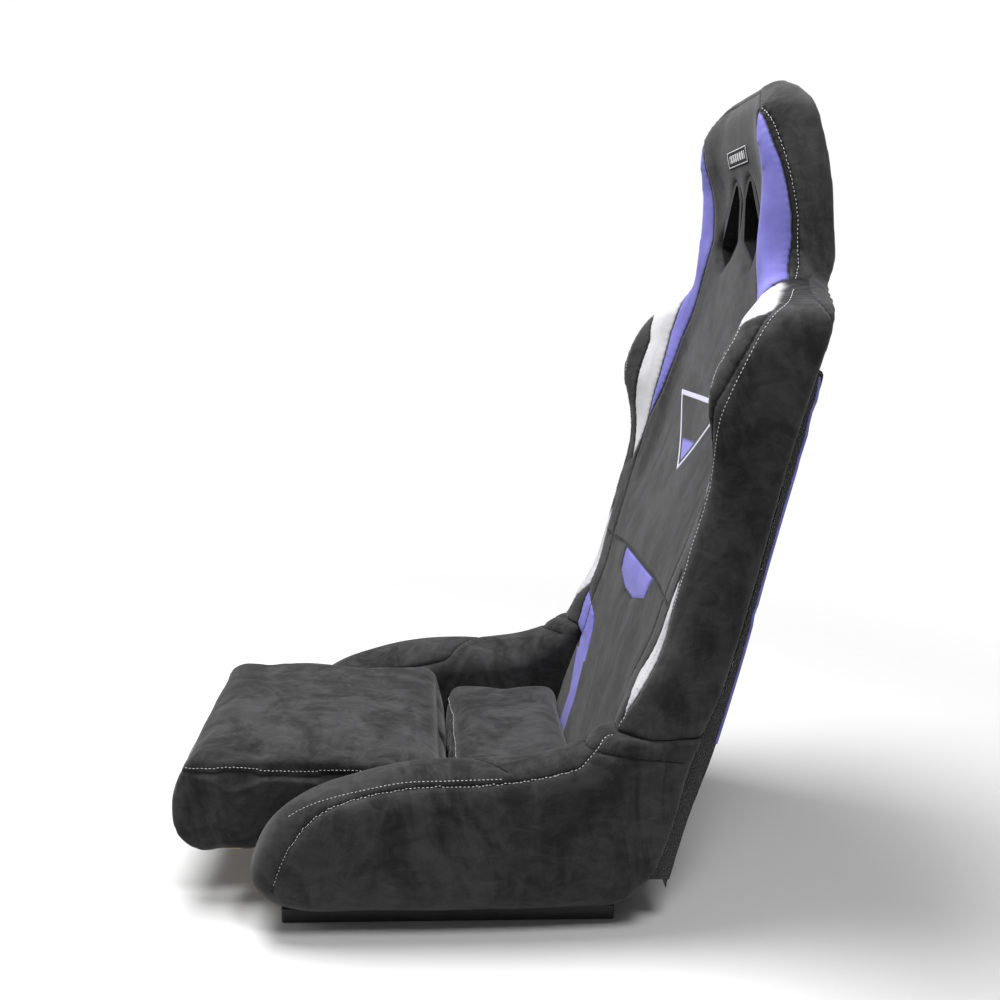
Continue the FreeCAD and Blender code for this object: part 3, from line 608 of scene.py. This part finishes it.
# Panel edges as |X| or Y over height, in millimetres.
PURPLE_INNER = ramp([(518, 186), (567, 168), (635, 158), (698, 131), (740, 108), (765, 102),
                     (800, 105), (834, 110), (868, 114), (893, 117), (900, 120)])
PURPLE_REAR = ramp([(640, 400), (700, 380), (709, 363), (753, 371), (780, 369), (806, 364),
                    (833, 357), (854, 349), (881, 340), (893, 334), (903, 326)])
PALE_INNER = ramp([(468, 200), (518, 186), (585, 178), (644, 178), (710, 168)])
PALE_OUTER = ramp([(468, 200), (500, 211), (545, 219), (582, 214), (633, 209), (663, 219),
                   (676, 240)])
PALE_TOP = ramp([(150, 716), (168, 710), (185, 701), (228, 688), (246, 676)])
STRIP_INNER = ramp([(241, 220), (262, 212), (284, 190), (322, 199), (360, 204), (404, 211)])
STRIP_OUTER = ramp([(241, 220), (264, 225), (322, 220), (381, 216), (404, 211)])
WEDGE_OUTER = ramp([(151, 107), (211, 170), (279, 181)])
WEDGE_INNER = ramp([(151, 66), (159, 68), (257, 133)])
WEDGE_TOP = ramp([(133, 257), (181, 279)])
PATCH_SIDE = ramp([(321, 18), (336, 77), (364, 87)])
BADGE_SIDE = ramp([(480, 0), (572, 108)])


def all_of(*fields):
    return np.minimum.reduce(fields)


def panel_fields(points, rearmost):
    """Signed millimetre distances to the edges of the coloured panels."""
    x = np.abs(points[:, 0]) / MM
    y = points[:, 1] / MM
    z = points[:, 2] / MM
    ahead = rearmost(z) - 34 - y
    head = all_of(x - PURPLE_INNER(z), PURPLE_REAR(z) - y, z - 518, ahead)
    head = np.where(z < 710, all_of(head, PALE_INNER(z) - x), head)
    wedge = all_of(WEDGE_OUTER(z) - x, x - WEDGE_INNER(z), WEDGE_TOP(x) - z, ahead,
                   -points[:, 0] / MM)
    patch = all_of(PATCH_SIDE(z) - x, 364 - z, z - 321, ahead)
    shoulder = all_of(x - PALE_INNER(z), PALE_OUTER(z) - x, PALE_TOP(x) - z, z - 468, ahead)
    strip = all_of(x - STRIP_INNER(z), STRIP_OUTER(z) - x, z - 241, 404 - z, ahead)
    badge = all_of(BADGE_SIDE(z) - x, 572 - z, z - 480, ahead) * 0.75
    return (np.maximum.reduce([head, wedge, patch]), np.maximum(shoulder, strip),
            np.where(z > 470, badge, -20.0))


def rear_profile(points):
    """Rearmost Y over height, for telling the front of the cover from its back."""
    z = points[:, 2] / MM
    stops = np.arange(z.min(), z.max(), 12.0)
    deep = [points[:, 1][np.abs(z - s) < 12].max() / MM for s in stops]
    return lambda q: np.interp(q, stops, deep)


def pressed(obj, gap, crease_and_shade, width, swell, reach):
    """Sinks the cover along its seams and lets it swell between them."""
    points = points_of(obj)
    sink = crease_and_shade * np.exp(-(gap / width) ** 2)
    rise = swell * (1 - np.exp(-(gap / reach) ** 2))
    put_points(obj, points + normals_of(obj) * ((rise - sink) * MM)[:, None])


def ripples(points, size, seed):
    """Slow uneven swell of hand-fitted foam."""
    rng = np.random.default_rng(seed)
    total = np.zeros(len(points))
    for _ in range(14):
        wave = rng.normal(size=3)
        wave *= rng.uniform(0.5, 1.6) / np.linalg.norm(wave) / size
        total += np.sin(points @ wave * 2 * math.pi + rng.uniform(0, 6.28))
    return total / 14


def pucker(lines, points, gap, pitch):
    """Little pulls of the thread beside each seam."""
    every = np.concatenate(lines)
    tree = KDTree(len(every))
    for i, p in enumerate(every):
        tree.insert(p, i)
    tree.balance()
    pull = np.zeros(len(points))
    for i in np.nonzero(gap < 9)[0]:
        pull[i] = math.sin(tree.find(points[i])[1] * 2 * math.pi / pitch)
    return pull * np.exp(-(gap / 6.0) ** 2)


threads = []


def sew(tree, line, body):
    """Keeps a laid line for the stitching."""
    places, outs = snapped(curve_through(line, 0.8), tree)
    threads.append((body, places, outs))


def back_cover():
    nodes = [node for node in frame["nodes"] if node.startswith("head_pad_")]
    nodes += ["foot_pad", "lower_back_pad", "upper_back_pad", "back_bolster_left",
              "back_bolster_right"]
    cover = remeshed(joined("back_cover", nodes), COVER_VOXEL, 5)
    points = points_of(cover)
    eased(cover, np.exp(-((points[:, 2] - 0.692) / 0.024) ** 2), 30)
    subdivided(cover)
    tree = tree_of(cover)
    lines = [snapped(curve_through(HEAD_TOP), tree)[0],
             snapped(curve_through(LUMBAR_SEAM), tree)[0]]
    for turn in (lambda s: s, flip):
        for seam in (HEAD_SIDE, NECK, SHOULDER_CREST, PAD_EDGE):
            lines.append(snapped(curve_through(turn(seam)), tree)[0])
    points = points_of(cover)
    purple, pale, badge = panel_fields(points, rear_profile(points))
    gap = distance_to(points, lines)
    borders = np.where(points[:, 2] > 0.2, np.minimum(np.abs(purple), np.abs(pale)), 20.0)
    gap = np.minimum(gap, borders)
    pull = pucker(lines, points, gap, 9.0)
    pressed(cover, gap, 1.7, 2.6, 1.3, 16.0)
    points = points_of(cover)
    put_points(cover, points + normals_of(cover) * ((ripples(points, 0.16, 3) * 1.6
                                                    + pull * 0.35) * MM)[:, None])
    keep_values(cover, "purple_mm", purple)
    keep_values(cover, "pale_mm", pale)
    keep_values(cover, "badge_mm", badge)
    keep_values(cover, "seam_mm", gap)
    tree = tree_of(cover)
    for turn in (lambda s: s, flip):
        for seam in (HEAD_SIDE, SHOULDER_OUTER, SHOULDER_INNER):
            sew(tree, turn(seam), "seat")
    smooth_shaded(cover)
    wear(cover, cover_finish())
    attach(cover, "seat")
    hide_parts(*nodes, "back_emblem", "lumbar_patch")


def leg_cover(name, side):
    cover = remeshed(joined("leg_cover_" + name, ["leg_bolster_" + name]), COVER_VOXEL, 5)
    subdivided(cover)
    tree = tree_of(cover)
    turn = (lambda s: s) if side > 0 else flip
    lines = [snapped(curve_through(turn(s)), tree)[0] for s in (LEG_TOP, LEG_CAP, PLEAT)]
    points = points_of(cover)
    gap = distance_to(points, lines)
    pull = pucker(lines, points, gap, 9.0)
    pressed(cover, gap, 2.2, 3.2, 1.4, 14.0)
    points = points_of(cover)
    put_points(cover, points + normals_of(cover) * ((ripples(points, 0.14, 5) * 1.6
                                                    + pull * 0.4) * MM)[:, None])
    keep_plain(cover, gap)
    tree = tree_of(cover)
    for seam in (LEG_TOP, LEG_CREST):
        sew(tree, turn(seam), "seat")
    smooth_shaded(cover)
    wear(cover, bpy.data.materials["panelled_cover"])
    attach(cover, "seat")
    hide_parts("leg_bolster_" + name)


# ---- seat cushions -----------------------------------------------------------

def stuffed(obj, pressure, most):
    """Blows the cover up as cloth and caps how far it may move."""
    rest = points_of(obj).copy()
    cloth = obj.modifiers.new("cloth", "CLOTH")
    cloth.settings.use_pressure = True
    cloth.settings.uniform_pressure_force = pressure
    cloth.settings.effector_weights.gravity = 0.0
    cloth.settings.tension_stiffness = 25
    cloth.settings.compression_stiffness = 25
    cloth.settings.bending_stiffness = 1.5
    cloth.point_cache.frame_start = 1
    cloth.point_cache.frame_end = 20
    scene = bpy.context.scene
    for step in range(1, 21):
        scene.frame_set(step)
    settle(obj)
    scene.frame_set(1)
    moved = points_of(obj) - rest
    length = np.linalg.norm(moved, axis=1, keepdims=True)
    put_points(obj, rest + moved * np.minimum(1, most / np.maximum(length, 1e-9)))
    return obj


def seat_cushion(name, seam_z, swell):
    cushion = remeshed(joined(name + "_cover", [name]), COVER_VOXEL, 3)
    low, high = (np.array(c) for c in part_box(name))
    middle = (low + high) / 2
    points = points_of(cushion)
    put_points(cushion, middle + (points - middle) * (1 - 5 * MM / (high - low)))
    stuffed(cushion, 4.0, 6 * MM)
    subdivided(cushion)
    points = points_of(cushion)
    x, y, z = (points / MM).T
    half = high[0] / MM
    crown = (np.clip(1 - (x / half) ** 2, 0, 1) * np.clip((z - 100) / 60, 0, 1))
    points[:, 2] += crown * swell * MM
    points[:, 2] = np.maximum(points[:, 2], low[2])
    points[:, 0] = np.clip(points[:, 0], low[0] + 0.5 * MM, high[0] - 0.5 * MM)
    put_points(cushion, points)
    tree = tree_of(cushion)
    front, rear = low[1] / MM, high[1] / MM
    mid = 0.5 * (front + rear)
    line = [(half, rear - 6, seam_z(rear)), (half, mid, seam_z(mid)),
            (half, front + 60, seam_z(front + 60)), (half - 8, front + 12, seam_z(front + 12)),
            (half - 40, front, seam_z(front)), (0, front - 2, seam_z(front))]
    line = line + [(-x, y, z) for x, y, z in reversed(line[:-1])]
    laid = [snapped(curve_through(line), tree)[0]]
    points = points_of(cushion)
    gap = distance_to(points, laid)
    pull = pucker(laid, points, gap, 9.0)
    pressed(cushion, gap, 2.0, 3.0, 0.8, 14.0)
    points = points_of(cushion)
    put_points(cushion, points + normals_of(cushion) * ((ripples(points, 0.12, 8) * 1.5
                                                        + pull * 0.4) * MM)[:, None])
    keep_plain(cushion, gap)
    upper = [(x, y, z + 4) for x, y, z in line]
    sew(tree_of(cushion), upper, name)
    smooth_shaded(cushion)
    wear(cushion, bpy.data.materials["panelled_cover"])
    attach(cushion, name)
    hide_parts(name)


# ---- rear flap ---------------------------------------------------------------

def flap_cover():
    cover = remeshed(joined("flap_cover", ["flap_skin", "flap_padding"]), FLAP_VOXEL, 3)
    points = points_of(cover)
    put_points(cover, points + normals_of(cover) * (ripples(points, 0.10, 11) * 0.6 * MM)[:, None])
    smooth_shaded(cover)
    wear(cover, flap_finish())
    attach(cover, "back_flap")
    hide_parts("flap_skin", "flap_padding")


def flap_piping():
    """Covered cord sewn into each long edge of the flap, a little slack near the top."""
    purple = purple_cloth()
    _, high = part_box("flap_skin")
    skin = points_of(frame["nodes"]["flap_skin"]) / MM
    levels = np.unique(np.round(skin[:, 2], 1))
    deepest = [skin[np.abs(skin[:, 2] - z) < 0.2, 1].max() for z in levels]
    for name, side in SIDES:
        curve = bpy.data.curves.new("flap_piping_" + name, "CURVE")
        curve.dimensions = "3D"
        curve.bevel_depth = PIPING_RADIUS
        curve.bevel_resolution = 3
        curve.use_fill_caps = True
        heights = np.linspace(0.214, high[2] - 4 * MM, 34)
        line = curve.splines.new("POLY")
        line.points.add(len(heights) - 1)
        for point, z in zip(line.points, heights):
            slack = max(0.0, (z - 0.5) / 0.11)
            wave = slack * 1.6 * math.sin(z * 150 + side)
            y = (np.interp(z / MM, levels, deepest) - 1.2 + wave) * MM
            point.co = (side * (high[0] + 0.4 * MM), y, z, 1)
        drawn = new_object("piping_path", curve)
        graph = bpy.context.evaluated_depsgraph_get()
        mesh = bpy.data.meshes.new_from_object(drawn.evaluated_get(graph))
        bpy.data.objects.remove(drawn)
        piping = new_object("flap_piping_" + name, mesh)
        smooth_shaded(piping)
        wear(piping, purple)
        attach(piping, "back_flap")


def hinge_cloth():
    """Strip of cover cloth sewn to the back and to the flap, laid in a fixed curve round the hinge pin."""
    low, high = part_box("flap_hinge_strip")
    pin = next(j for j in frame["joints"] if j["name"] == "flap_hinge")["pos_m"]
    half = high[0]
    rows = [(pin[1] + 0.0012 - 0.010 * k * 0.21, pin[2] - 0.010 * k) for k in (2, 1.2, 0.5)]
    rows += [(pin[1] + 0.0008, pin[2]), (high[1] - 0.0030, low[2] + 0.004),
             (high[1] - 0.0012, high[2] - 0.004), (high[1] - 0.0003, high[2])]
    bm = bmesh.new()
    xs = np.linspace(-half, half, 61)
    grid = [[bm.verts.new((x, y + 0.0004 * math.sin(x * 190), z)) for x in xs] for y, z in rows]
    for a, b in zip(grid, grid[1:]):
        for i in range(len(xs) - 1):
            bm.faces.new((a[i], a[i + 1], b[i + 1], b[i]))
    bmesh.ops.recalc_face_normals(bm, faces=bm.faces)
    mesh = bpy.data.meshes.new("hinge_cloth")
    bm.to_mesh(mesh)
    bm.free()
    cloth = new_object("hinge_cloth", mesh)
    if cloth.data.polygons[0].normal.y < 0:
        cloth.data.flip_normals()
    wall = cloth.modifiers.new("wall", "SOLIDIFY")
    wall.thickness = 2.2 * MM
    wall.offset = 1.0
    settle(cloth)
    subdivided(cloth)
    smooth_shaded(cloth)
    wear(cloth, suede_finish())
    pin[2] + 0.004
    pin[2] - 0.006
    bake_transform(cloth)
    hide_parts("flap_hinge_strip")


# ---- stitching ---------------------------------------------------------------

def stitch_tree(material):
    """Geometry Nodes: one thread bead on each point, turned along its seam."""
    tree = bpy.data.node_groups.new("stitching", "GeometryNodeTree")
    face = tree.interface
    face.new_socket("Geometry", in_out="INPUT", socket_type="NodeSocketGeometry")
    length = face.new_socket("Stitch length", in_out="INPUT", socket_type="NodeSocketFloat")
    radius = face.new_socket("Thread radius", in_out="INPUT", socket_type="NodeSocketFloat")
    face.new_socket("Geometry", in_out="OUTPUT", socket_type="NodeSocketGeometry")
    nodes, links = tree.nodes, tree.links
    start = nodes.new("NodeGroupInput")
    end = nodes.new("NodeGroupOutput")
    to_points = nodes.new("GeometryNodeMeshToPoints")
    bead = nodes.new("GeometryNodeMeshUVSphere")
    bead.inputs["Segments"].default_value = 6
    bead.inputs["Rings"].default_value = 5
    bead.inputs["Radius"].default_value = 1.0
    size = nodes.new("ShaderNodeCombineXYZ")
    half = nodes.new("ShaderNodeMath")
    half.operation = "MULTIPLY"
    half.inputs[1].default_value = 0.5
    along = nodes.new("GeometryNodeInputNamedAttribute")
    along.data_type = "FLOAT_VECTOR"
    along.inputs["Name"].default_value = "along"
    out = nodes.new("GeometryNodeInputNamedAttribute")
    out.data_type = "FLOAT_VECTOR"
    out.inputs["Name"].default_value = "out"
    turn_along = nodes.new("FunctionNodeAlignRotationToVector")
    turn_along.axis = "X"
    turn_out = nodes.new("FunctionNodeAlignRotationToVector")
    turn_out.axis = "Z"
    turn_out.pivot_axis = "X"
    place = nodes.new("GeometryNodeInstanceOnPoints")
    real = nodes.new("GeometryNodeRealizeInstances")
    dye = nodes.new("GeometryNodeSetMaterial")
    dye.inputs["Material"].default_value = material
    links.new(start.outputs["Geometry"], to_points.inputs["Mesh"])
    links.new(start.outputs["Stitch length"], half.inputs[0])
    links.new(half.outputs[0], size.inputs["X"])
    links.new(start.outputs["Thread radius"], size.inputs["Y"])
    links.new(start.outputs["Thread radius"], size.inputs["Z"])
    links.new(along.outputs["Attribute"], turn_along.inputs["Vector"])
    links.new(turn_along.outputs["Rotation"], turn_out.inputs["Rotation"])
    links.new(out.outputs["Attribute"], turn_out.inputs["Vector"])
    links.new(to_points.outputs["Points"], place.inputs["Points"])
    links.new(bead.outputs["Mesh"], place.inputs["Instance"])
    links.new(turn_out.outputs["Rotation"], place.inputs["Rotation"])
    links.new(size.outputs["Vector"], place.inputs["Scale"])
    links.new(place.outputs["Instances"], real.inputs["Geometry"])
    links.new(real.outputs["Geometry"], dye.inputs["Geometry"])
    links.new(dye.outputs["Geometry"], end.inputs["Geometry"])
    return tree, length.identifier, radius.identifier


def stitching():
    thread = thread_finish()
    tree, length, radius = stitch_tree(thread)
    for body in sorted({t[0] for t in threads}):
        spots, ways, lifts = [], [], []
        for owner, places, outs in threads:
            if owner != body:
                continue
            run = np.concatenate([[0], np.cumsum(np.linalg.norm(np.diff(places, axis=0), axis=1))])
            stops = np.arange(STITCH_PITCH, run[-1] - STITCH_PITCH, STITCH_PITCH)
            at = np.stack([np.interp(stops, run, places[:, k]) for k in range(3)], axis=1)
            lift = np.stack([np.interp(stops, run, outs[:, k]) for k in range(3)], axis=1)
            spots.append(at + lift * 0.25 * MM)
            ways.append(np.gradient(at, axis=0))
            lifts.append(lift)
        mesh = bpy.data.meshes.new("stitches_" + body)
        spots = np.concatenate(spots)
        mesh.from_pydata(spots.tolist(), [], [])
        for name, values in (("along", np.concatenate(ways)), ("out", np.concatenate(lifts))):
            layer = mesh.attributes.new(name, "FLOAT_VECTOR", "POINT")
            layer.data.foreach_set("vector", values.astype(np.float32).ravel())
        stitches = new_object("stitches_" + body, mesh)
        sewing = stitches.modifiers.new("sewing", "NODES")
        sewing.node_group = tree
        sewing[length] = STITCH_LENGTH
        sewing[radius] = THREAD_RADIUS
        settle(stitches)
        smooth_shaded(stitches)
        wear(stitches, thread)
        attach(stitches, body)
        "pad_cover" if body != "seat" else "bolster_cover"


# ---- finishes on the frame's own pieces --------------------------------------

def dress_frame_pieces():
    rail = paint_finish("rail_powder_coat", (0.012, 0.012, 0.013, 1), 0.42)
    tube = paint_finish("frame_powder_coat", (0.015, 0.015, 0.016, 1), 0.38)
    by_slot = {"rail_paint": rail, "frame_paint": tube, "pan_paint": tube,
               "cushion_board": ply_finish(), "slot_bezel": gloss_finish(),
               "screw_steel": steel_finish(), "webbing": webbing_finish(),
               "tape": fuzzy_finish()}
    for part in frame["record"]["subparts"]:
        material = by_slot.get(part["material_slot"])
        if material:
            wear(frame["nodes"][part["node"]], material)
    wear(frame["nodes"]["head_label"], label_finish())


# ---- stage -------------------------------------------------------------------

def plain_floor():
    size = 6.0
    mesh = bpy.data.meshes.new("floor")
    corners = [(-size, -size, 0), (size, -size, 0), (size, size, 0), (-size, size, 0)]
    mesh.from_pydata([(x, y, cad_box[0][2] - 0.0005) for x, y, _ in corners], [], [(0, 1, 2, 3)])
    floor = new_object("floor", mesh)
    f = Finish("floor_paper")
    tone = f.noise(3.0)
    x, y = f.axis("X"), f.axis("Y")
    out = (x * x + y * y).math("SQRT")
    wear(floor, f.set(Base_Color=f.mix(tone, (0.56, 0.56, 0.56, 1), (0.60, 0.60, 0.60, 1)),
                      Roughness=0.9, Alpha=1 - out.step(0.55, 1.5)))


def softbox(name, place, target, size, power):
    lamp = bpy.data.lights.new(name, "AREA")
    lamp.energy = power
    lamp.size = size
    obj = bpy.data.objects.new(name, lamp)
    bpy.context.collection.objects.link(obj)
    obj.location = place
    obj.rotation_euler = (Vector(target) - Vector(place)).to_track_quat("-Z", "Y").to_euler()


def studio():
    world = bpy.data.worlds.new("studio")
    bpy.context.scene.world = world
    world.use_nodes = True
    nodes, links = world.node_tree.nodes, world.node_tree.links
    seen = nodes.new("ShaderNodeLightPath")
    level = nodes.new("ShaderNodeMapRange")
    level.inputs["To Min"].default_value = 0.20
    level.inputs["To Max"].default_value = 1.0
    links.new(seen.outputs["Is Camera Ray"], level.inputs["Value"])
    links.new(level.outputs["Result"], nodes["Background"].inputs["Strength"])
    nodes["Background"].inputs["Color"].default_value = (1, 1, 1, 1)
    middle = (0, 0.1, 0.4)
    softbox("overhead", (-0.3, -0.6, 2.6), middle, 1.4, 125)
    softbox("front", (0.2, -2.5, 1.6), middle, 1.4, 12)
    softbox("side", (1.0, 0.45, 1.9), (0, 0.35, 0.75), 0.5, 26)
    bpy.context.scene.view_settings.view_transform = "Standard"


back_cover()
for name, side in SIDES:
    leg_cover(name, side)
seat_cushion("front_cushion", lambda y: 158 - 0.035 * (y + 200), 4.0)
seat_cushion("rear_cushion", lambda y: 122.0, 3.0)
flap_cover()
flap_piping()
hinge_cloth()
stitching()
dress_frame_pieces()
plain_floor()
studio()
